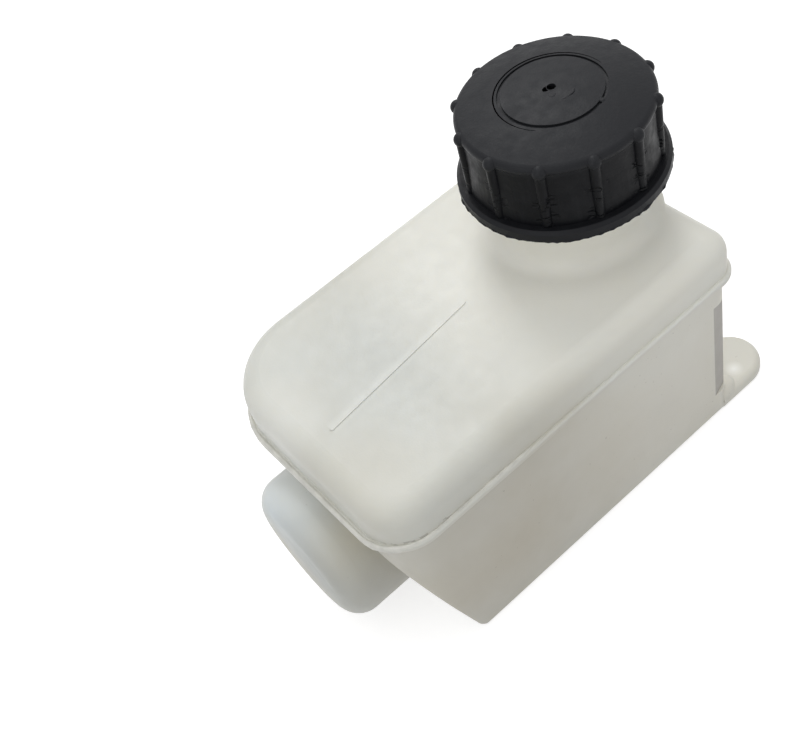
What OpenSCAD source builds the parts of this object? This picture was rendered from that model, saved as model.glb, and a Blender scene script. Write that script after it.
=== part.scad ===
// Brake fluid reservoir: two moulded halves welded at a bead, a threaded filler
// neck with a strainer, and a ribbed screw cap with its gasket and vent baffle.
// X runs along the tank towards the neck, Y across it, Z up from the base.

/* [Tank] */
// Length of the upper half, wall to wall
tank_l = 109; // [90:0.5:160]
// Width of the upper half, wall to wall
tank_w = 70; // [60:0.5:110]
// Height from the base to the weld
lower_h = 55.2; // [50:0.2:80]
// Height from the weld to the top face
upper_h = 12; // [9:0.5:30]
// Wall thickness of both halves
wall = 2.2; // [1.6:0.1:3]
// Plan radius of the front corner at the boss end
front_r = 11; // [8:0.5:16]
// Plan radius of the rear corner at the boss end
rear_r = 21; // [8:0.5:24]
// Plan radius of the corners at the neck end
neck_end_r = 6; // [6:0.5:14]
// Radius that rolls the top face into the walls
top_r = 5.5; // [4:0.25:5.75]
// How far the lower half sits in from the upper one
step_in = 1.2; // [0.6:0.1:2]
// How far the weld bead stands out of the upper wall
bead_out = 1; // [0.5:0.1:1.5]
// Height of the bead on each half
bead_h = 1; // [0.8:0.1:1.5]
// Radius that softens the bead
bead_edge_r = 0.7; // [0.3:0.1:0.7]

/* [Lower half] */
// Depth below the weld where the end wall starts to slope
slope_start = 9; // [4:0.5:16]
// How far the sloping end wall has run in at the base
slope_run = 14; // [6:0.5:24]
// Radius of the edges round the base
floor_r = 2.6; // [2.4:0.1:4]

/* [Round boss] */
// Diameter of the boss on the end wall
boss_d = 40.8; // [30:0.2:42]
// How far the boss stands out past the upper wall
boss_out = 10.1; // [6:0.1:14]
// Depth of the boss axis below the weld
boss_drop = 27.8; // [22:0.2:28]
// Radius of the boss's outer edge
boss_edge_r = 6.5; // [3:0.1:8]

/* [Corner flat] */
// Length of the flat along the front wall
flat_run = 6.2; // [4:0.1:9]
// Depth of the flat at the end wall
flat_depth = 1.9; // [1:0.1:2]
// Depth of the flat's upper end below the weld
flat_top = 9.5; // [5:0.5:14]
// Height of the flat's lower end above the base
flat_foot = 10; // [7:0.5:16]

/* [Mounting ear] */
// Radius of the ear's round end
ear_r = 8.4; // [7:0.1:12]
// Distance of the ear's centre from the end wall
ear_out = 9; // [6:0.1:14]
// Thickness of the ear
ear_h = 5; // [4.5:0.5:7]
// Radius that softens the ear's edges
ear_edge_r = 2; // [1:0.1:2.2]
// Radius where the ear's top runs into the end wall
ear_root_r = 2; // [1:0.1:3]

/* [Hose spigot] */
// Outside diameter of the spigot
spigot_d = 9; // [8:0.5:11]
// Bore of the spigot
spigot_bore = 6; // [4:0.5:6.5]
// Length of the spigot
spigot_l = 15; // [12:0.5:16]
// Height of the barb above the spigot
barb_rise = 0.8; // [0.4:0.1:1.2]
// Length of the barb's crest
barb_crest = 2; // [1:0.1:3]
// Height of the spigot's axis above the base
spigot_z = 9; // [8:0.5:16]
// Distance of the spigot's axis behind the middle plane
spigot_y = 12; // [0:0.5:20]

/* [Neck] */
// Distance of the neck axis from the end wall
neck_inset = 19; // [19:0.5:40]
// Outside diameter of the neck
neck_d = 35.6; // [34:0.2:39]
// Wall thickness of the neck
neck_wall = 2.2; // [1.8:0.1:3]
// Height of the neck above the top face
neck_h = 30; // [26:0.5:40]
// Radius at the foot of the neck
foot_r = 4.6; // [2:0.1:5]

/* [Strainer] */
// Radial gap between the strainer and the neck
strainer_gap = 1.4; // [1.2:0.1:3]
// Thickness of the strainer's flange
strainer_flange_h = 1; // [0.8:0.1:1.6]
// Wall thickness of the basket
strainer_wall = 1.1; // [0.9:0.1:1.6]
// Depth of the basket below the rim of the neck
strainer_depth = 44; // [36:0.5:48]
// Number of windows round the basket
window_count = 10; // [6:1:14]
// Width of a window
window_w = 5; // [3:0.5:5.5]

/* [Cap] */
// Radial room for the thread between the neck and the cap
thread_room = 2.9; // [2.6:0.1:3.6]
// How far the rim of the cap stands out of its wall
rim_out = 0.4; // [0.2:0.1:0.8]
// How far the flange stands out of the wall
flange_out = 2.7; // [2:0.1:5]
// Height of the cap at its middle
cap_h = 23.3; // [21:0.1:28]
// Radius of the cap's domed top
dome_r = 80; // [70:5:140]
// Height of the flange
cap_flange_h = 3.2; // [2:0.1:5]
// Thickness of the cap's wall
cap_wall = 1.6; // [1.4:0.1:2.2]
// Thickness of the cap's top
cap_top = 2.1; // [1.6:0.1:3]
// Radius of the soft edge of the top
cap_edge_r = 1.5; // [0.8:0.1:2]
// Number of grip ribs
rib_count = 12; // [8:1:24]
// Radius of a rib
rib_r = 1.3; // [0.8:0.05:1.5]
// Radius of a rib's round head
rib_head_r = 1.7; // [1.6:0.05:2]
// How far the middle of a rib's head lies below the soft edge
rib_drop = 0.3; // [0.1:0.1:2]
// Angle of the first rib
rib_turn = 7; // [0:1:29]
// Radius of the ring groove in the top
groove_r = 12; // [8:0.5:16]
// Width of the ring groove
groove_w = 0.8; // [0.4:0.1:1.2]
// Depth of the ring groove
groove_depth = 0.5; // [0.3:0.1:0.8]
// Diameter of the vent hole
vent_d = 2.2; // [1.2:0.1:3]

/* [Gasket and vent baffle] */
// Thickness of the gasket
gasket_h = 1.5; // [1.2:0.1:2.4]
// Width of the gasket ring
gasket_w = 4; // [3:0.1:5]
// Thickness of the vent baffle
baffle_h = 1.1; // [0.9:0.1:1.8]
// Height of the ribs that hold the baffle off the top
baffle_rib_h = 0.7; // [0.5:0.1:1.2]
// Radial gap between these two rings and the cap
ring_gap = 0.3; // [0.2:0.05:0.6]

/* [Top ridge] */
// Length of the moulded ridge on the top face
ridge_l = 44; // [20:1:60]
// Width of the ridge
ridge_w = 1.3; // [0.8:0.1:2.5]
// Height of the ridge
ridge_h = 0.25; // [0.2:0.05:0.6]
// Angle of the ridge to the tank's length
ridge_turn = 5.7; // [0:0.1:10]

/* [Hidden] */
$fn = 96;
eps = 0.01;
cut = 1;
flip = [-1, 1];

// The footprint runs from the boss to the ear, and its middle is X = 0
footprint_l = boss_out + tank_l - step_in + ear_out + ear_r;
boss_end_x = -footprint_l / 2;
upper_x0 = boss_end_x + boss_out;
upper_x1 = upper_x0 + tank_l;
lower_x0 = upper_x0 + step_in;
lower_x1 = upper_x1 - step_in;
lower_w = tank_w - 2 * step_in;
top_z = lower_h + upper_h;

ear_x = lower_x1 + ear_out;
ear_y = -lower_w / 2 + ear_r;
ear_root = 2.5;

neck_x = upper_x1 - neck_inset;
neck_r = neck_d / 2;
neck_bore_r = neck_r - neck_wall;
neck_top_z = top_z + neck_h;

strainer_r = neck_bore_r - strainer_gap;
strainer_flange_r = neck_r - 0.4;
strainer_sill = 4;
strainer_floor_z = neck_top_z - strainer_depth;
strainer_hole_d = 2.6;
strainer_hole_step = 4.6;
window_rows = 2;
window_bar = 2.4;

// The cap's parts are stacked up from the rim of the neck
gasket_z = neck_top_z + strainer_flange_h;
baffle_z = gasket_z + gasket_h;
cap_ceiling_z = baffle_z + baffle_h + baffle_rib_h;
cap_bore_r = neck_r + thread_room;
cap_r = cap_bore_r + cap_wall;
rim_r = cap_r + rim_out;
flange_r = cap_r + flange_out;
ring_r = cap_bore_r - ring_gap;
vault_r = dome_r - cap_top;
dome_z = cap_ceiling_z - sqrt(vault_r * vault_r - cap_bore_r * cap_bore_r);
cap_foot_z = dome_z + dome_r - cap_h;
dome_mid = cap_h - dome_r;
edge_x = rim_r - cap_edge_r;
edge_z = dome_mid + sqrt((dome_r - cap_edge_r) * (dome_r - cap_edge_r) - edge_x * edge_x);
flange_chamfer = 0.8;
rib_sink = 0.15;

ridge_start = 9.8;
ridge_x = upper_x0 + ridge_start + ridge_l / 2;
ridge_y = -2.3;

plastic = [0.86, 0.85, 0.80];
black = [0.12, 0.12, 0.13];

// Section from the middle of a block out to a wall, with its top corner rolled
module rolled_section(reach, h, edge) {
    square([reach - edge, h]);
    square([reach, h - edge]);
    intersection() {
        translate([reach - edge, h - edge]) circle(edge);
        square([reach, h]);
    }
}

// Block with upright round corners and a rolled top edge; a, b and c are the plan
// radii at the front and rear of the boss end and at the neck end
module rolled_block(x0, x1, w, h, a, b, c, edge) {
    middle = (x0 + x1) / 2;
    radii = [a, b];
    for (i = [0, 1]) {
        s = flip[i];
        r = radii[i];
        translate([x0 + r, s * (w / 2 - r), 0]) rotate_extrude() rolled_section(r, h, edge);
        translate([x1 - c, s * (w / 2 - c), 0]) rotate_extrude() rolled_section(c, h, edge);
        translate([s > 0 ? x0 + r : x1 - c, 0, 0]) rotate([90, 0, s * 90])
            linear_extrude(x1 - x0 - r - c) rolled_section(w / 2, h, edge);
    }
    translate([middle, 0, 0]) rotate([90, 0, 0]) linear_extrude(w - 2 * c, center = true)
        rolled_section(x1 - middle, h, edge);
    translate([middle, w / 2 - b, 0]) mirror([1, 0, 0]) rotate([90, 0, 0])
        linear_extrude(w - a - b) rolled_section(middle - x0, h, edge);
}

// Plan outline with the same three radii
module plan(x0, x1, w, a, b, c) {
    half = (x1 - x0) / 2;
    translate([x0 + a, -w / 2 + a]) circle(a);
    translate([x0 + b, w / 2 - b]) circle(b);
    for (s = flip) translate([x1 - c, s * (w / 2 - c)]) circle(c);
    translate([x0 + a, -w / 2]) square([x1 - x0 - a - c, w / 2]);
    translate([x0 + b, 0]) square([x1 - x0 - b - c, w / 2]);
    translate([x0, -w / 2 + a]) square([half, w - a - b]);
    translate([x0 + half, -w / 2 + c]) square([half, w - 2 * c]);
}

// The waste outside a round corner: v is the corner, a and b point along its sides
module corner_waste(v, a, b, r) {
    half = acos(a * b) / 2;
    run = r / tan(half);
    middle = (a + b) / norm(a + b);
    centre = v + middle * r / sin(half);
    difference() {
        polygon([v - middle * cut, v + a * run, centre, v + b * run]);
        translate(centre) circle(r + eps);
    }
}

// Side view of the lower half, from the sloping end wall to the neck end
module lower_side(inset, edge) {
    slope = [slope_run, -(lower_h - slope_start)];
    lean = slope / norm(slope);
    push = inset / (-lean[1]);
    start = [lower_x0 + inset, lower_h - slope_start - inset * tan(atan2(lean[0], -lean[1]) / 2)];
    heel = [lower_x0 + push + slope_run - inset * lean[0] / (-lean[1]), inset];
    toe = [lower_x1 - inset, inset];
    difference() {
        polygon([[start[0], lower_h + cut], start, heel, toe, [toe[0], lower_h + cut]]);
        corner_waste(heel, -lean, [1, 0], edge * 3);
        corner_waste(toe, [-1, 0], [0, 1], edge);
    }
}

// End view of the lower half
module lower_end(inset, edge) {
    half = lower_w / 2 - inset;
    difference() {
        translate([-half, inset]) square([2 * half, lower_h + cut - inset]);
        corner_waste([half, inset], [-1, 0], [0, 1], edge);
        corner_waste([-half, inset], [1, 0], [0, 1], edge);
    }
}

// The lower half's body, or its inside when inset by the wall
module lower_body(inset, lift) {
    edge = max(floor_r - inset, 0.6);
    intersection() {
        linear_extrude(lower_h + lift)
            plan(lower_x0 + inset, lower_x1 - inset, lower_w - 2 * inset,
                 front_r - step_in - inset, rear_r - step_in - inset, neck_end_r - step_in - inset);
        rotate([90, 0, 0]) linear_extrude(tank_w, center = true) lower_side(inset, edge);
        translate([boss_end_x, 0, 0]) rotate([90, 0, 90]) linear_extrude(footprint_l) lower_end(inset, edge);
    }
}

// Half of the weld bead, standing up from z = 0
module bead() {
    rolled_block(upper_x0 - bead_out, upper_x1 + bead_out, tank_w + 2 * bead_out, bead_h,
                 front_r + bead_out, rear_r + bead_out, neck_end_r + bead_out, bead_edge_r);
}

// Round closed boss along X, with a soft outer edge
module boss(r, end_x, edge) {
    translate([end_x, 0, lower_h - boss_drop]) rotate([0, 90, 0])
        rotate_extrude() {
            translate([0, edge]) square([r, lower_x0 + slope_run + wall - end_x - edge]);
            square([r - edge, lower_x0 + slope_run + wall - end_x]);
            intersection() {
                translate([r - edge, edge]) circle(edge);
                square([r, 2 * edge]);
            }
        }
}

// Section from the middle of the ear out to its soft edge
module ear_section() {
    square([ear_r - ear_edge_r, ear_h]);
    translate([0, ear_edge_r]) square([ear_r, ear_h - 2 * ear_edge_r]);
    translate([ear_r - ear_edge_r, ear_edge_r]) circle(ear_edge_r);
    translate([ear_r - ear_edge_r, ear_h - ear_edge_r]) circle(ear_edge_r);
}

module ear() {
    translate([ear_x, ear_y, 0]) rotate_extrude() ear_section();
    translate([lower_x1 - ear_root, ear_y, 0]) rotate([90, 0, 90]) linear_extrude(ear_out + ear_root) {
        ear_section();
        mirror([1, 0]) ear_section();
    }
    translate([lower_x1, ear_y, ear_h - eps]) rotate([90, 0, 0])
        linear_extrude(2 * (ear_r - ear_edge_r), center = true) difference() {
            translate([-ear_root, 0]) square([ear_root + ear_root_r, ear_root_r]);
            translate([ear_root_r, ear_root_r + eps]) circle(ear_root_r);
        }
}

// Hose spigot with one barb, lying along X
module spigot() {
    r = spigot_d / 2;
    tip = spigot_l;
    barb_run = 4;
    translate([lower_x1 - wall / 2, spigot_y, spigot_z]) rotate([0, 90, 0]) rotate_extrude()
        polygon([[0, 0], [r + 1.2, 0], [r + 1.2, wall / 2 + 0.6], [r, wall / 2 + 1.8],
                 [r, wall / 2 + tip - barb_crest - barb_run], [r + barb_rise, wall / 2 + tip - barb_crest - 3.4],
                 [r + barb_rise, wall / 2 + tip - 3.4], [r - 0.5, wall / 2 + tip], [0, wall / 2 + tip]]);
}

module corner_flat() {
    z0 = flat_foot;
    z1 = lower_h - flat_top;
    front = -lower_w / 2;
    translate([0, 0, z0]) linear_extrude(z1 - z0)
        polygon([[lower_x1 - flat_run, front], [lower_x1, front + flat_depth],
                 [lower_x1 + cut, front + flat_depth], [lower_x1 + cut, front - cut],
                 [lower_x1 - flat_run, front - cut]]);
}

module lower_shell() {
    color(plastic) difference() {
        union() {
            difference() {
                lower_body(0, 0);
                corner_flat();
            }
            translate([0, 0, lower_h]) mirror([0, 0, 1]) bead();
            boss(boss_d / 2, boss_end_x, boss_edge_r);
            ear();
            spigot();
        }
        lower_body(wall, cut);
        boss(boss_d / 2 - wall, boss_end_x + wall, boss_edge_r - wall);
        translate([lower_x1 - wall - cut, spigot_y, spigot_z]) rotate([0, 90, 0])
            cylinder(h = spigot_l + wall + 2 * cut, d = spigot_bore);
    }
}

// Foot of the neck: a flare on the top face, filled down over the rolled end
module neck_foot() {
    intersection() {
        translate([neck_x, 0, top_z - top_r]) rotate_extrude() {
            square([neck_r + foot_r, top_r]);
            difference() {
                square([neck_r + foot_r, top_r + foot_r]);
                translate([neck_r + foot_r, top_r + foot_r]) circle(foot_r);
            }
        }
        translate([0, 0, lower_h]) linear_extrude(upper_h + foot_r)
            plan(upper_x0, upper_x1, tank_w, front_r, rear_r, neck_end_r);
    }
}

module top_ridge() {
    translate([ridge_x, ridge_y, top_z - ridge_h]) rotate([0, 0, ridge_turn]) {
        translate([-ridge_l / 2, -ridge_w / 2, 0]) cube([ridge_l, ridge_w, 2 * ridge_h]);
        for (s = flip) translate([s * ridge_l / 2, 0, 0]) cylinder(h = 2 * ridge_h, d = ridge_w);
    }
}

module upper_shell() {
    color(plastic) difference() {
        union() {
            translate([0, 0, lower_h])
                rolled_block(upper_x0, upper_x1, tank_w, upper_h, front_r, rear_r, neck_end_r, top_r);
            translate([0, 0, lower_h]) bead();
            neck_foot();
            translate([neck_x, 0, top_z - top_r]) cylinder(h = neck_h + top_r, r = neck_r);
            top_ridge();
        }
        translate([0, 0, lower_h - cut])
            rolled_block(upper_x0 + wall, upper_x1 - wall, tank_w - 2 * wall, upper_h - wall + cut,
                         front_r - wall, rear_r - wall, neck_end_r - wall, top_r - wall);
        translate([neck_x, 0, lower_h]) cylinder(h = upper_h + neck_h + cut, r = neck_bore_r);
    }
}

module strainer() {
    window_h = (strainer_depth - strainer_sill * 2 - window_bar) / window_rows;
    color(plastic) translate([neck_x, 0, 0]) difference() {
        union() {
            translate([0, 0, neck_top_z]) cylinder(h = strainer_flange_h, r = strainer_flange_r);
            translate([0, 0, strainer_floor_z]) cylinder(h = strainer_depth + eps, r = strainer_r);
        }
        translate([0, 0, strainer_floor_z + strainer_wall])
            cylinder(h = strainer_depth + strainer_flange_h, r = strainer_r - strainer_wall);
        for (i = [0 : window_count - 1], row = [0 : window_rows - 1])
            rotate([0, 0, 360 * i / window_count])
                translate([0, -window_w / 2, strainer_floor_z + strainer_sill + row * (window_h + window_bar)])
                    cube([strainer_r + cut, window_w, window_h]);
        for (ring = [1, 2], i = [0 : 6 * ring - 1])
            rotate([0, 0, 60 * i / ring]) translate([ring * strainer_hole_step, 0, strainer_floor_z - cut])
                cylinder(h = strainer_wall + 2 * cut, d = strainer_hole_d);
    }
}

module cap_gasket() {
    color([0.15, 0.15, 0.15]) translate([neck_x, 0, gasket_z]) difference() {
        cylinder(h = gasket_h, r = ring_r);
        translate([0, 0, -cut]) cylinder(h = gasket_h + 2 * cut, r = ring_r - gasket_w);
    }
}

module vent_baffle() {
    rib_l = ring_r - vent_d - 3;
    color([0.75, 0.74, 0.70]) translate([neck_x, 0, baffle_z]) {
        difference() {
            cylinder(h = baffle_h, r = ring_r);
            for (i = [0 : 2])
                rotate([0, 0, 120 * i + 30]) translate([groove_r, 0, -cut]) cylinder(h = baffle_h + 2 * cut, d = vent_d);
        }
        for (i = [0 : 5])
            rotate([0, 0, 60 * i]) translate([vent_d + 1, -0.6, baffle_h - eps])
                cube([rib_l, 1.2, baffle_rib_h + eps]);
    }
}

// Outside of the cap: a wall under a soft rim, a domed top and the flange below
module cap_outline() {
    square([cap_r, edge_z]);
    square([edge_x, edge_z + cap_edge_r / 2]);
    translate([edge_x, edge_z]) circle(cap_edge_r);
    intersection() {
        translate([0, dome_mid]) circle(dome_r, $fn = 720);
        square([edge_x * dome_r / (dome_r - cap_edge_r), cap_h + cut]);
    }
    polygon([[0, 0], [flange_r - flange_chamfer / 2, 0], [flange_r, flange_chamfer / 2],
             [flange_r, cap_flange_h - flange_chamfer], [flange_r - flange_chamfer, cap_flange_h], [0, cap_flange_h]]);
}

// Grip rib with a round head, standing on the flange
module cap_rib() {
    rib_h = edge_z - rib_drop - cap_flange_h / 2;
    translate([cap_r - rib_sink, 0, cap_flange_h / 2]) {
        cylinder(h = rib_h, r = rib_r, $fn = 32);
        translate([0, 0, rib_h]) sphere(rib_head_r, $fn = 48);
    }
}

// Space inside the cap, up to its vaulted ceiling
module cap_inside() {
    intersection() {
        translate([0, -cut]) square([cap_bore_r, cap_h + cut]);
        translate([0, dome_mid]) circle(vault_r, $fn = 720);
    }
}

module cap_shell() {
    groove_z = dome_mid + sqrt(dome_r * dome_r - groove_r * groove_r) - groove_depth;
    color(black) translate([neck_x, 0, cap_foot_z]) difference() {
        union() {
            rotate_extrude() cap_outline();
            for (i = [0 : rib_count - 1]) rotate([0, 0, 360 * i / rib_count + rib_turn]) cap_rib();
        }
        rotate_extrude() cap_inside();
        translate([0, 0, cap_h / 2]) cylinder(h = cap_h, d = vent_d);
        rotate_extrude() translate([groove_r - groove_w / 2, groove_z]) square([groove_w, groove_depth + cut]);
    }
}

lower_shell();
upper_shell();
strainer();
cap_gasket();
vent_baffle();
cap_shell();
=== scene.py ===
"""Looks of a brake fluid reservoir: milky welded tank, black ribbed screw cap, strainer and seal."""
import math
import random

import bmesh
import bpy
from mathutils import Matrix, Vector


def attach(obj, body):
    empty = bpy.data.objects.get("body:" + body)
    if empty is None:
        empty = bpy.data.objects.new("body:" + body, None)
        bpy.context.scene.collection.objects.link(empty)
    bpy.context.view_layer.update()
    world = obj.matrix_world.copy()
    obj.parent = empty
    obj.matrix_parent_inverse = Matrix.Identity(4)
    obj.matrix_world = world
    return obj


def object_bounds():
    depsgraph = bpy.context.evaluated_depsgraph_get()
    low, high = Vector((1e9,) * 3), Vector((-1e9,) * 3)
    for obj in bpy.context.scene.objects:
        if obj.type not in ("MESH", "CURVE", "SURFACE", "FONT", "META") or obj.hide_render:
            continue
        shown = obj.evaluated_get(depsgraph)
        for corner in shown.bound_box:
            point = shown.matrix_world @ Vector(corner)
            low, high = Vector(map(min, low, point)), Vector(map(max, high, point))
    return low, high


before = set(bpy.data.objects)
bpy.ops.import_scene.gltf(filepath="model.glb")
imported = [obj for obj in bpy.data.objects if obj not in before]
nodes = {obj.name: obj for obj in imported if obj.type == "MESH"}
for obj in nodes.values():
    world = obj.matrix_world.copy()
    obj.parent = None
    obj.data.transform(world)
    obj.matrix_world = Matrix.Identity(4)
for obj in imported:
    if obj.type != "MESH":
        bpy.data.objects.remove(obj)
cad_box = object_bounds()

MM = 0.001
FULL_TURN = 2 * math.pi

# Places on the part, in millimetres
CAP_X = 32.45
WELD_Z = 55.2
TOP_Z = 67.2
NECK_R = 17.8
CAP_BORE_R = 20.7
CAP_FOOT_Z = 83.1
CAP_MID_Z = 106.39
DOME_R = 80.0
FLANGE_R = 25.0
THREAD_PITCH = 4.0
BEAD_X0 = -58.55
BEAD_HALF_W = 36.0
FRONT_R, REAR_R = 12.0, 22.0
FLAT_X0, FLAT_Z0, FLAT_Z1 = 44.05, 10.0, 45.7
CAP_RIB_TURN, CAP_RIBS = 7.0, 12
CAP_WALL_R = 22.3
GROOVE_R = 12.0


class Link:
    """An output of a node; sums on it add Math nodes."""

    def __init__(self, nodes, socket):
        self.nodes = nodes
        self.socket = socket

    def __add__(self, other):
        return self.nodes.maths("ADD", self, other)

    def __sub__(self, other):
        return self.nodes.maths("SUBTRACT", self, other)

    def __rsub__(self, other):
        return self.nodes.maths("SUBTRACT", other, self)

    def __mul__(self, other):
        return self.nodes.maths("MULTIPLY", self, other)

    __radd__ = __add__
    __rmul__ = __mul__


class Nodes:
    """The node tree of a material or a world."""

    def __init__(self, tree):
        self.tree = tree

    def node(self, kind, settings=None, values=None, output=0):
        """A node of a kind, with its settings made first, then the values or links of its sockets."""
        made = self.tree.nodes.new("ShaderNode" + kind)
        for name, value in (settings or {}).items():
            setattr(made, name, value)
        pairs = values.items() if isinstance(values, dict) else enumerate(values or [])
        for name, value in pairs:
            self.join(value, made.inputs[name])
        return Link(self, made.outputs[output])

    def join(self, value, socket):
        if isinstance(value, Link):
            self.tree.links.new(value.socket, socket)
        else:
            socket.default_value = value

    def maths(self, operation, first, second=0.0):
        return self.node("Math", {"operation": operation}, [first, second])

    def seen(self):
        """1 where the camera looks, straight or through a reflection or a clear piece."""
        rays = [self.node("LightPath", output="Is %s Ray" % ray) for ray in ("Camera", "Glossy", "Transmission")]
        return rays[0] + rays[1] + rays[2]


class Finish(Nodes):
    """A surface finish: one material with its shader."""

    def __init__(self, name, **constants):
        self.material = bpy.data.materials.new(name)
        self.material.use_nodes = True
        super().__init__(self.material.node_tree)
        self.shader = self.tree.nodes["Principled BSDF"]
        for socket, value in constants.items():
            self.shader.inputs[socket.replace("_", " ")].default_value = value

    def feed(self, name, value):
        self.join(value, self.shader.inputs[name])

    def place(self, stretch=(1, 1, 1), centre=(0, 0, 0)):
        """Object coordinates in metres, moved so that the centre is zero and then stretched."""
        coords = self.node("TexCoord", output="Object")
        back = tuple(-c * s for c, s in zip(centre, stretch))
        return self.node("Mapping", {}, {"Vector": coords, "Location": back, "Scale": stretch})

    def grain(self, size_mm, detail=3.0, rough=0.5, where=None):
        """Even noise from 0 to 1, with grains of about that size."""
        return self.node("TexNoise", {}, {"Vector": where or self.place(), "Scale": 1 / (size_mm * MM),
                                          "Detail": detail, "Roughness": rough})

    def step(self, value, low, high, to_low=0.0, to_high=1.0):
        """A value mapped from one range to another, held at its ends."""
        return self.node("MapRange", {"clamp": True}, [value, low, high, to_low, to_high])

    def near(self, centre_mm, radius_mm, stretch=(1, 1, 1)):
        """1 at a place on the part, falling to 0 at the radius."""
        away = self.node("VectorMath", {"operation": "LENGTH"},
                         [self.place(stretch, [c * MM for c in centre_mm])], output="Value")
        return self.step(away, 0.0, radius_mm * MM, 1.0, 0.0)

    def between(self, value, low, high):
        """1 where a value in metres lies between two places in millimetres."""
        return self.maths("GREATER_THAN", value, low * MM) * self.maths("LESS_THAN", value, high * MM)

    def axes(self):
        """The three object coordinates."""
        coords = self.node("TexCoord", output="Object")
        return [self.node("SeparateXYZ", {}, [coords], output=i) for i in range(3)]

    def flat_strip(self):
        """1 on the flat at the front corner of the neck end."""
        x, y, z = self.axes()
        return self.between(x, FLAT_X0, 52) * self.between(y, -40, -31.7) * self.between(z, FLAT_Z0, FLAT_Z1)

    def blend(self, amount, first, second, mode="MIX"):
        """Two colours mixed."""
        return self.node("Mix", {"data_type": "RGBA", "blend_type": mode},
                         {0: amount, 6: first, 7: second}, output=2)

    def bump(self, height, depth_mm, strength=1.0):
        return self.node("Bump", {}, {"Height": height, "Strength": strength, "Distance": depth_mm * MM})


def shade(*srgb):
    """A colour written in screen values from 0 to 255."""
    return tuple(((v / 255 + 0.055) / 1.055) ** 2.4 if v > 10 else v / 255 / 12.92 for v in srgb) + (1.0,)


def milky(name, pale, warm, roughness=0.42, specks=0.0):
    """Frosted natural plastic: pale, faintly clouded, with a fine uneven skin and dust on the lower front, plus
    painted light and shade in patches on the boss, top, front, ends, ear, ridge, weld notches and corner flat.
    """
    f = Finish(name, Subsurface_Weight=0.2, Subsurface_Scale=0.004, Subsurface_Radius=(1.0, 0.9, 0.7), IOR=1.5)
    body = f.blend(f.step(f.grain(30, 2.0), 0.38, 0.66) * 0.7, shade(*pale), shade(*warm))
    body = f.blend(f.step(f.grain(9, 4.0), 0.5, 0.72) * 0.16, body, shade(*[v - 10 for v in warm]))
    # painted highlight: bluish white light on the upper left of the boss
    body = f.blend(f.near((-67, 6, 43), 22) * 0.9, body, shade(214, 223, 227))
    # painted shade: grey on the lower right of the boss
    body = f.blend(f.near((-65, -9, 29), 24) * 0.9, body, shade(158, 163, 161))
    body = f.blend(f.near((-57, -14, 42), 12) * 0.25, body, shade(206, 197, 165))
    # painted shade: the middle of the top face darker
    body = f.blend(f.near((-24, 2, TOP_Z), 38) * 0.75, body, shade(192, 195, 191))
    # painted shade: the front wall darker towards the neck end
    body = f.blend(f.near((26, -34, 24), 30) * 0.5, body, shade(184, 180, 170))
    # painted light: the top round the neck paler, lifting the shadow of the cap and neck
    body = f.blend(f.near((CAP_X, 0, TOP_Z + 6), 60, (1, 1, 0.4)) * 1.0, body, shade(250, 248, 238))
    # painted light: the ear lighter
    body = f.blend(f.near((60, -25, 4), 14) * 0.35, body, shade(226, 225, 216))
    # painted highlight: a bright spot on the ear
    body = f.blend(f.near((57, -29, 5), 2.8) * 0.8, body, shade(250, 250, 246))
    # painted light: the upper part of the boss end lighter
    body = f.blend(f.near((-57, 8, 58), 18) * 0.8, body, shade(232, 232, 226))
    # painted shadow: the front wall darker and warmer towards the boss end
    body = f.blend(f.near((-26, -34, 26), 46) * 0.65, body, shade(186, 179, 163))
    x, y, z = f.axes()
    weld = f.step(f.maths("ABSOLUTE", z - (WELD_Z - 0.6) * MM), 0.0012, 0.0026, 1.0, 0.0) * f.step(x, 0.0, -0.03)
    body = f.blend(weld * 0.6, body, shade(226, 225, 214))
    # painted shade: dark ticks above the weld on the front, standing in for notches
    notch_shade = f.between(z, WELD_Z + 1.0, WELD_Z + 1.9) * f.step(f.grain(1.4, 1.0), 0.52, 0.6) * f.step(x, -0.034, -0.042)
    body = f.blend(notch_shade * f.step(y, -0.026, -0.032) * 0.5, body, shade(142, 140, 130))
    # painted light: a paler band along the ridge on the top, softening its shaded edge
    ridge = (y + 0.0023) * 0.9951 - (x + 0.02575) * 0.0993
    soft = f.step(f.maths("ABSOLUTE", ridge), 0.0006, 0.002, 1.0, 0.0) * f.between(x, -48, -3)
    body = f.blend(soft * f.between(z, TOP_Z - 0.5, TOP_Z + 1) * 0.35, body, shade(222, 224, 219))
    # painted shade: the flat at the front corner of the neck end darker
    body = f.blend(f.flat_strip() * 0.85, body, shade(152, 148, 143))
    if specks:
        dust = f.step(f.grain(0.9, 2.0), 0.72, 0.76) * f.step(f.grain(16, 2.0), 0.45, 0.6)
        body = f.blend(dust * specks, body, shade(120, 112, 94))
    f.feed("Base Color", body)
    f.feed("Roughness", f.step(f.grain(3.5, 4.0), 0.3, 0.7, roughness - 0.05, roughness + 0.08))
    f.feed("Normal", f.bump(f.grain(0.45, 2.0) * 0.25 + f.grain(8, 3.0), 0.07))
    return f.material


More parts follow.
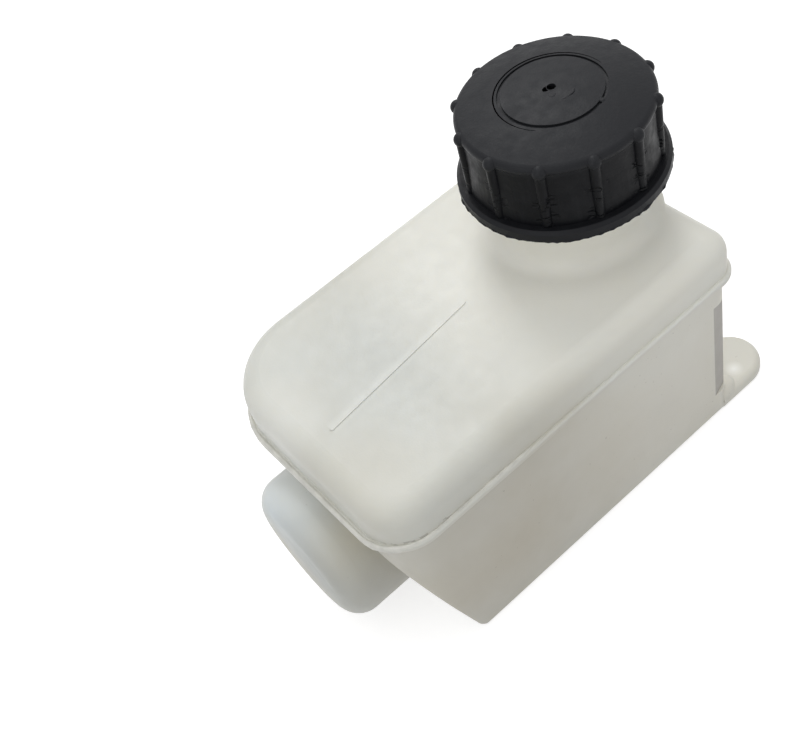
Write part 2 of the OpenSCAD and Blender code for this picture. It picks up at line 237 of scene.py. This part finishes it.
def black_moulding(name, colour, roughness=0.4, depth_mm=0.08):
    """Black moulded plastic: leathery skin, worn mottle, upright drag marks, nicks beside the ribs, a painted sheen on
    the top and painted light on the flange band.
    """
    f = Finish(name, IOR=1.49, Specular_IOR_Level=0.12)
    x, y, z = f.axes()
    out = x - CAP_X * MM
    radius = f.maths("POWER", out * out + y * y, 0.5)
    angle = f.maths("ARCTAN2", y, out)
    share = f.maths("FRACT", angle * (CAP_RIBS / FULL_TURN) + (1.5 - CAP_RIB_TURN / 30))
    beside = f.step(f.maths("ABSOLUTE", share - 0.5), 0.26, 0.12)
    wall = f.between(radius, CAP_WALL_R - 0.1, 30) * f.between(z, CAP_FOOT_Z + 3.4, CAP_FOOT_Z + 13)
    nick = f.step(f.grain(2.6, 1.0, where=f.place((0.8, 0.8, 1.8))), 0.56, 0.64) * beside * wall
    top = f.step(z, (CAP_MID_Z - 6.5) * MM, (CAP_MID_Z - 4) * MM)
    wear = f.step(f.grain(5, 5.0, 0.6), 0.48, 0.7)
    drag = f.step(f.grain(1.5, 3.0, where=f.place((1, 1, 0.14))), 0.55, 0.72)
    tone = f.blend(wear * 0.5, shade(*colour), shade(*[v + 12 for v in colour]))
    tone = f.blend(drag * 0.25, tone, shade(*[v + 20 for v in colour]))
    # painted sheen: the top of the cap lighter
    tone = f.blend(top * 0.75, tone, shade(*[v + 30 for v in colour]))
    # painted light: the flange band below the wall lighter
    f.feed("Base Color", f.blend(f.step(z, (CAP_FOOT_Z + 3.4) * MM, (CAP_FOOT_Z + 3.0) * MM) * 0.6, tone,
                                 shade(*[v + 26 for v in colour])))
    f.feed("Roughness", f.step(f.grain(2.6, 4.0), 0.3, 0.7, roughness - 0.07, roughness + 0.12))
    skin = f.grain(0.7, 3.0) * 0.5 + f.grain(3.2, 3.0)
    f.feed("Normal", f.bump(skin - nick * 5.0, depth_mm))
    return f.material


def plain_moulding(name, colour, roughness, grain_mm, depth_mm, gloss=0.5):
    """Simple moulded or rubber finish with a slight mottle."""
    f = Finish(name, Specular_IOR_Level=gloss)
    f.feed("Base Color", f.blend(f.step(f.grain(4, 3.0), 0.35, 0.65), shade(*colour), shade(*[v * 0.9 for v in colour])))
    f.feed("Roughness", f.step(f.grain(1.5, 3.0), 0.3, 0.7, roughness - 0.05, roughness + 0.08))
    f.feed("Normal", f.bump(f.grain(grain_mm, 3.0), depth_mm))
    return f.material


UPPER_PLASTIC = milky("upper_plastic", (209, 210, 203), (203, 201, 190))
LOWER_PLASTIC = milky("lower_plastic", (206, 205, 197), (199, 195, 182), 0.46, 0.4)
FLASH_PLASTIC = plain_moulding("flash_plastic", (222, 221, 213), 0.4, 0.5, 0.04)
STRAINER_PLASTIC = plain_moulding("strainer_plastic", (226, 224, 214), 0.4, 0.8, 0.03)
BAFFLE_PLASTIC = plain_moulding("baffle_plastic", (205, 203, 192), 0.45, 0.8, 0.03)
RUBBER = plain_moulding("gasket_rubber", (30, 30, 31), 0.75, 0.3, 0.04)
CAP_PLASTIC = black_moulding("cap_plastic", (11, 12, 15))
# painted shade: a black with no shine for marks that show only as shade
SHADE_BLACK = plain_moulding("painted_shade_black", (3, 3, 3), 0.9, 0.5, 0.01, 0.0)

for name, material in (("upper_shell", UPPER_PLASTIC), ("lower_shell", LOWER_PLASTIC), ("strainer", STRAINER_PLASTIC),
                       ("vent_baffle", BAFFLE_PLASTIC), ("cap_gasket", RUBBER), ("cap_shell", CAP_PLASTIC)):
    node = nodes[name]
    node.data.materials.clear()
    node.data.materials.append(material)


def finished(bm, name, material, body, smooth=True):
    """A bmesh in millimetres made a piece that rides on a body, held just inside the part's box."""
    for v in bm.verts:
        for axis in range(3):
            v.co[axis] = min(max(v.co[axis], cad_box[0][axis] / MM + 0.003), cad_box[1][axis] / MM - 0.003)
    bmesh.ops.scale(bm, vec=(MM, MM, MM), verts=bm.verts)
    bmesh.ops.remove_doubles(bm, verts=bm.verts, dist=1e-6)
    bmesh.ops.recalc_face_normals(bm, faces=bm.faces)
    mesh = bpy.data.meshes.new(name)
    bm.to_mesh(mesh)
    bm.free()
    mesh.materials.append(material)
    for face in mesh.polygons:
        face.use_smooth = smooth
    piece = bpy.data.objects.new(name, mesh)
    bpy.context.scene.collection.objects.link(piece)
    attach(piece, body)
    return piece


def thread(name, root_r, crest_r, z0, turns, start, material, body):
    """One helical ridge round the cap's axis, fading out at both ends, crest outside or inside the root."""
    bm = bmesh.new()
    steps = int(turns * 48)
    half_root, half_crest = 0.9, 0.4
    section = [(root_r, -half_root), (crest_r, -half_crest), (crest_r, half_crest), (root_r, half_root)]
    ring = [bm.verts.new((r * math.cos(start), r * math.sin(start), z0 + z)) for r, z in section]
    edges = [bm.edges.new((ring[i], ring[(i + 1) % 4])) for i in range(4)]
    bm.faces.new(ring)
    bmesh.ops.spin(bm, geom=ring + edges, angle=turns * FULL_TURN, steps=steps, axis=(0, 0, 1), cent=(0, 0, 0),
                   dvec=(0, 0, THREAD_PITCH * turns / steps), use_merge=False)
    bmesh.ops.holes_fill(bm, edges=[e for e in bm.edges if e.is_boundary], sides=4)
    # The crest sinks to the root over the first and last eighth of a turn
    rise = THREAD_PITCH * turns
    for v in bm.verts:
        along = (v.co.z - z0) / rise
        fade = min(1.0, max(0.0, along * turns * 8), max(0.0, (1 - along) * turns * 8))
        r = math.hypot(v.co.x, v.co.y)
        sunk = root_r + (r - root_r) * max(fade, 0.05)
        v.co.x *= sunk / r
        v.co.y *= sunk / r
    bmesh.ops.translate(bm, vec=(CAP_X, 0, 0), verts=bm.verts)
    return finished(bm, name, material, body)


def flash(name, points, sizes, flat, material, body):
    """A strip or swelling along a line of points, thicker where its sizes are larger."""
    bm = bmesh.new()
    rings = []
    for i, (point, size) in enumerate(zip(points, sizes)):
        before, after = points[max(i - 1, 0)], points[min(i + 1, len(points) - 1)]
        along = (Vector(after) - Vector(before)).normalized()
        turned = along.to_track_quat("Z", "Y").to_matrix().to_4x4()
        made = bmesh.ops.create_circle(bm, segments=16, radius=size, matrix=Matrix.Translation(point) @ turned)
        for v in made["verts"]:
            v.co.z = point[2] + (v.co.z - point[2]) * flat
        rings.append([e for e in bm.edges if e.verts[0] in made["verts"] and e.verts[1] in made["verts"]])
    for one, other in zip(rings, rings[1:]):
        bmesh.ops.bridge_loops(bm, edges=one + other)
    bmesh.ops.holes_fill(bm, edges=[e for e in bm.edges if e.is_boundary], sides=16)
    return finished(bm, name, material, body)


def swelling(name, centre, radii, material, body):
    """A soft round swelling."""
    bm = bmesh.new()
    bmesh.ops.create_uvsphere(bm, u_segments=32, v_segments=20, radius=1.0)
    bmesh.ops.scale(bm, vec=radii, verts=bm.verts)
    bmesh.ops.translate(bm, vec=centre, verts=bm.verts)
    return finished(bm, name, material, body)


def lathe(name, section, material, body):
    """A ring turned round the cap's axis from a closed section of radius and height."""
    bm = bmesh.new()
    ring = [bm.verts.new((r, 0, z)) for r, z in section]
    edges = [bm.edges.new((ring[i], ring[(i + 1) % len(ring)])) for i in range(len(ring))]
    bmesh.ops.spin(bm, geom=ring + edges, angle=FULL_TURN, steps=96, axis=(0, 0, 1), cent=(0, 0, 0), use_merge=True)
    bmesh.ops.translate(bm, vec=(CAP_X, 0, 0), verts=bm.verts)
    return finished(bm, name, material, body, smooth=False)


def on_dome(radius, angle, lift=0.0):
    """A place on the cap's domed top."""
    t = math.radians(angle)
    z = CAP_MID_Z - DOME_R + math.sqrt(DOME_R ** 2 - radius ** 2) + lift
    return (CAP_X + radius * math.cos(t), radius * math.sin(t), z)


def lumpy(count, low, high, seed, smooth=3):
    """Seeded sizes that wander between two values."""
    rough = random.Random(seed)
    raw = [rough.uniform(0, 1) ** 2 for _ in range(count)]
    sizes = []
    for i in range(count):
        near = raw[max(0, i - smooth):i + smooth + 1]
        sizes.append(low + (high - low) * (0.5 * raw[i] + 0.5 * sum(near) / len(near)))
    return sizes


def round_cap(radius, z, first, last, count):
    """Points on a circle round the cap's axis, between two angles in degrees."""
    turns = [math.radians(first + (last - first) * i / (count - 1)) for i in range(count)]
    return [(CAP_X + radius * math.cos(t), radius * math.sin(t), z) for t in turns]


def weld_line(out):
    """Points along the weld bead from the front wall round the boss end to the rear."""
    x0, half = BEAD_X0 - out, BEAD_HALF_W - 0.25
    line = [(x, -half + 0.55, WELD_Z) for x in range(-10, int(x0 + FRONT_R), -2)]
    for r, side, span in ((FRONT_R, -1, range(0, 91, 9)), (REAR_R, 1, range(90, -1, -6))):
        for angle in span:
            t = math.radians(angle)
            reach = r - 0.55 + out * math.sin(t)
            line.append((x0 + out + r - math.sin(t) * reach, side * (half - r + math.cos(t) * (r - 0.55)), WELD_Z))
    return line


thread("neck_thread", NECK_R - 0.1, 19.3, 86.0, 2.25, 0.0, UPPER_PLASTIC, "tank")
thread("cap_thread", CAP_BORE_R + 0.1, 19.15, 85.0, 2.0, math.pi / 2, CAP_PLASTIC, "cap")

weld = weld_line(0.5)
wander = [min(size, 0.2 + 0.1 * i) for i, size in enumerate(lumpy(len(weld), 0.6, 0.86, 5))]
flash("weld_flash", weld, wander, 1.75, FLASH_PLASTIC, "tank")
flash("flange_flash", round_cap(FLANGE_R - 0.25, CAP_FOOT_Z + 0.4, 0, 356, 160), lumpy(160, 0.14, 0.75, 9, 2), 0.8,
      CAP_PLASTIC, "cap")
flash("cap_gate_mark", [on_dome(5.1, angle) for angle in range(-58, -110, -4)],
      [0.12 + 0.34 * math.sin(math.pi * min(1, i / 8)) for i in range(13)], 0.6, CAP_PLASTIC, "cap")
flash("vent_burr", [on_dome(1.2, angle, 0.02) for angle in range(-150, 30, 18)], lumpy(10, 0.14, 0.4, 3, 1), 0.8,
      CAP_PLASTIC, "cap")
swelling("vent_lump", on_dome(2.6, -132, -0.05), (0.9, 0.8, 0.16), CAP_PLASTIC, "cap")
# painted shade: a black swelling in the vent standing in for the dark of the hole
swelling("vent_hole_shade", on_dome(1.2, 158, 0.02), (1.1, 0.75, 0.12), SHADE_BLACK, "cap")
# painted shade: a thin black arc beside the groove, standing in for the dark edge of a fine step
flash("second_line_shade", [on_dome(GROOVE_R + 1.15, angle, -0.04) for angle in range(-10, 211, 4)],
      [0.07 + 0.12 * math.sin(math.pi * i / 55) for i in range(56)], 1.0, SHADE_BLACK, "cap")
swelling("groove_bridge", on_dome(GROOVE_R, -71, -0.15), (0.7, 0.7, 0.3), CAP_PLASTIC, "cap")
lathe("cap_wall_draft", [(CAP_WALL_R - 0.2, CAP_FOOT_Z + 16.4), (CAP_WALL_R + 0.5, CAP_FOOT_Z + 3.1),
                         (CAP_WALL_R - 0.2, CAP_FOOT_Z + 3.1)], CAP_PLASTIC, "cap")
swelling("ear_root", (49.6, -30.4, 3.6), (5.2, 3.38, 3.5), LOWER_PLASTIC, "tank")
flash("ear_foot", [(x, -31.6, 2.2) for x in range(43, 57)], [min(2.2, 1.7 + 0.1 * min(i, 13 - i)) for i in range(14)], 1.0,
      LOWER_PLASTIC, "tank")


def camera_and_light():
    camera = bpy.data.objects.new("camera", bpy.data.cameras.new("camera"))
    bpy.context.scene.collection.objects.link(camera)
    camera.location = (-0.095937, -0.15754, 0.264941)
    camera.rotation_euler = (0.678033, 0.22754, -0.696323)
    camera.data.sensor_fit = "HORIZONTAL"
    camera.data.sensor_width = 36
    camera.data.lens = 51.273
    camera.data.clip_start = 0.01
    bpy.context.scene.camera = camera
    lamps = (("ceiling", (-0.1, 0.0, 1.1), (0.03, 0.0, 0.05), 1.2, 4.1),
             ("sheen", (0.36, 0.62, 0.94), (0.03, 0.0, 0.1), 0.55, 3.5),
             ("left_window", (-0.9, -0.35, 0.5), (0.0, 0.0, 0.04), 0.6, 1.7),
             ("front_window", (0.35, -1.0, 0.45), (0.0, 0.0, 0.06), 0.6, 0.9))
    for name, place, aim, size, power in lamps:
        data = bpy.data.lights.new(name, "AREA")
        data.shape = "SQUARE"
        data.size = size
        data.energy = power
        lamp = bpy.data.objects.new(name, data)
        lamp.location = place
        lamp.rotation_euler = (Vector(aim) - Vector(place)).to_track_quat("-Z", "Y").to_euler()
        bpy.context.scene.collection.objects.link(lamp)


def stage():
    """Pale floor that takes the shadow, with a white surrounding."""
    bm = bmesh.new()
    bmesh.ops.create_grid(bm, x_segments=1, y_segments=1, size=3.0)
    mesh = bpy.data.meshes.new("floor")
    bm.to_mesh(mesh)
    bm.free()
    floor = bpy.data.objects.new("floor", mesh)
    bpy.context.scene.collection.objects.link(floor)
    f = Finish("floor_paint", Base_Color=(0.6, 0.6, 0.6, 1), Roughness=0.9, Specular_IOR_Level=0.0)
    paint = Link(f, f.shader.outputs[0])
    glow = f.node("Emission", {}, {"Strength": 0.66})
    pale = f.node("AddShader", {}, [paint, glow])
    pick = f.node("MixShader", {}, [f.seen(), paint, pale])
    f.join(pick, f.tree.nodes["Material Output"].inputs["Surface"])
    mesh.materials.append(f.material)
    world = bpy.data.worlds.new("surround")
    bpy.context.scene.world = world
    world.use_nodes = True
    w = Nodes(world.node_tree)
    light = w.node("Background", {}, {"Color": (1, 1, 1, 1), "Strength": 0.46})
    white = w.node("Background", {}, {"Color": (1, 1, 1, 1), "Strength": 1.0})
    pick = w.node("MixShader", {}, [w.seen(), light, white])
    w.join(pick, w.tree.nodes["World Output"].inputs["Surface"])


camera_and_light()
stage()
bpy.context.scene.view_settings.view_transform = "Standard"
